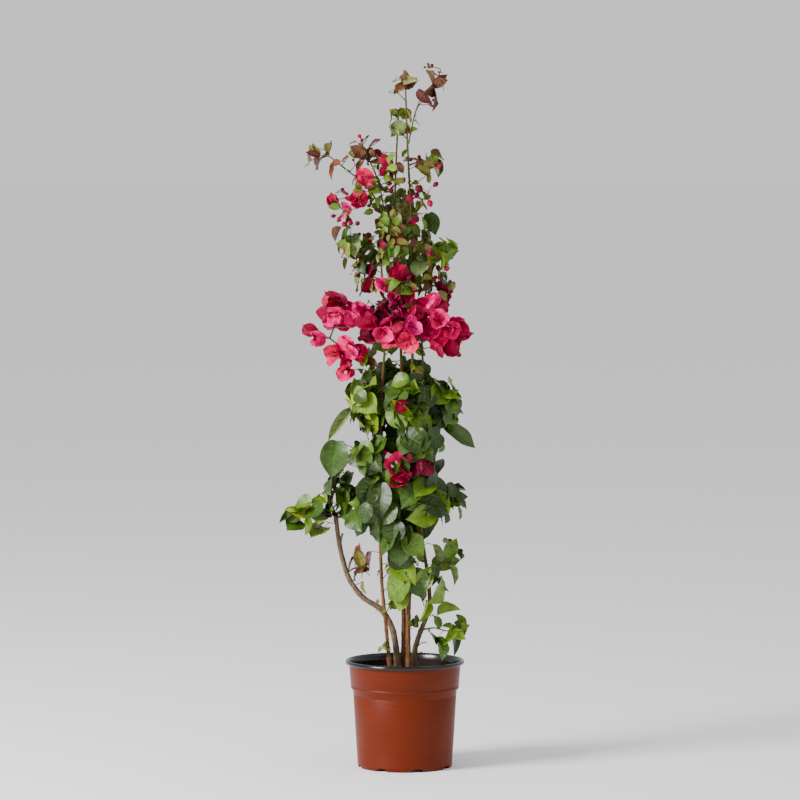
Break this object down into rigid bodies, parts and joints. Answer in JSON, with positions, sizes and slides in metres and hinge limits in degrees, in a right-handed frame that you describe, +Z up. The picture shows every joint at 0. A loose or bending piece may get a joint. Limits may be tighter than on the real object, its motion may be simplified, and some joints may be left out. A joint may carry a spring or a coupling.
{
  "type": "potted bougainvillea",
  "caption": "Bougainvillea grown as a slim upright column in a round plastic grower's pot, with dark green leaves, bronze young shoots and crimson-pink bracts.",
  "frame": {"origin": "middle of the pot's flat underside", "axes": "+Z up along the pot's axis; -Y towards the plant's front, the side pictured; +X to the viewer's right"},
  "size_m": [0.317, 0.197, 1.128],
  "materials": {
    "pot": "satin",
    "soil": "matte",
    "bark": "matte",
    "leaves": "satin",
    "young": "satin",
    "bracts": "matte"
  },
  "bodies": {
    "root": {"bough_right": "bark", "bracts_back": "bracts", "bracts_centre": "bracts", "bracts_centre_left": "bracts", "bracts_centre_right": "bracts", "bracts_core": "bracts", "bracts_far_left": "bracts", "bracts_far_upper_left": "bracts", "bracts_left_high": "bracts", "bracts_left_low": "bracts", "bracts_low": "bracts", "bracts_right": "bracts", "bracts_right_middle": "bracts", "bracts_upper_centre": "bracts", "bracts_upper_left": "bracts", "bracts_upper_right": "bracts", "leaf_left_large": "leaves", "leaf_left_long": "leaves", "leaf_right_far": "leaves", "leaves_back_low": "leaves", "leaves_back_middle": "leaves", "leaves_back_upper": "leaves", "leaves_bow": "leaves", "leaves_centre_high": "leaves", "leaves_centre_left": "leaves", "leaves_centre_low": "leaves", "leaves_centre_middle": "leaves", "leaves_centre_right": "leaves", "leaves_core": "leaves", "leaves_core_left": "leaves", "leaves_far_left": "leaves", "leaves_gap_left": "leaves", "leaves_left_high": "leaves", "leaves_left_low": "leaves", "leaves_left_middle": "leaves", "leaves_low_left": "leaves", "leaves_low_middle": "leaves", "leaves_low_right": "leaves", "leaves_right_high": "leaves", "leaves_right_middle": "leaves", "leaves_right_out": "leaves", "leaves_right_tail": "leaves", "leaves_right_tip": "leaves", "leaves_upper_middle": "leaves", "leaves_upper_right": "leaves", "pot": "pot", "shoot_top_right": "bark", "shoot_upper_left": "bark", "soil": "soil", "stem_bow_high": "bark", "stem_bow_low": "bark", "stem_centre": "bark", "stem_leader": "bark", "stem_left": "bark", "stem_right": "bark", "young_far_left": "young", "young_top": "young", "young_top_low": "young", "young_top_right": "young", "young_upper_left": "young"}
  },
  "joints": []
}
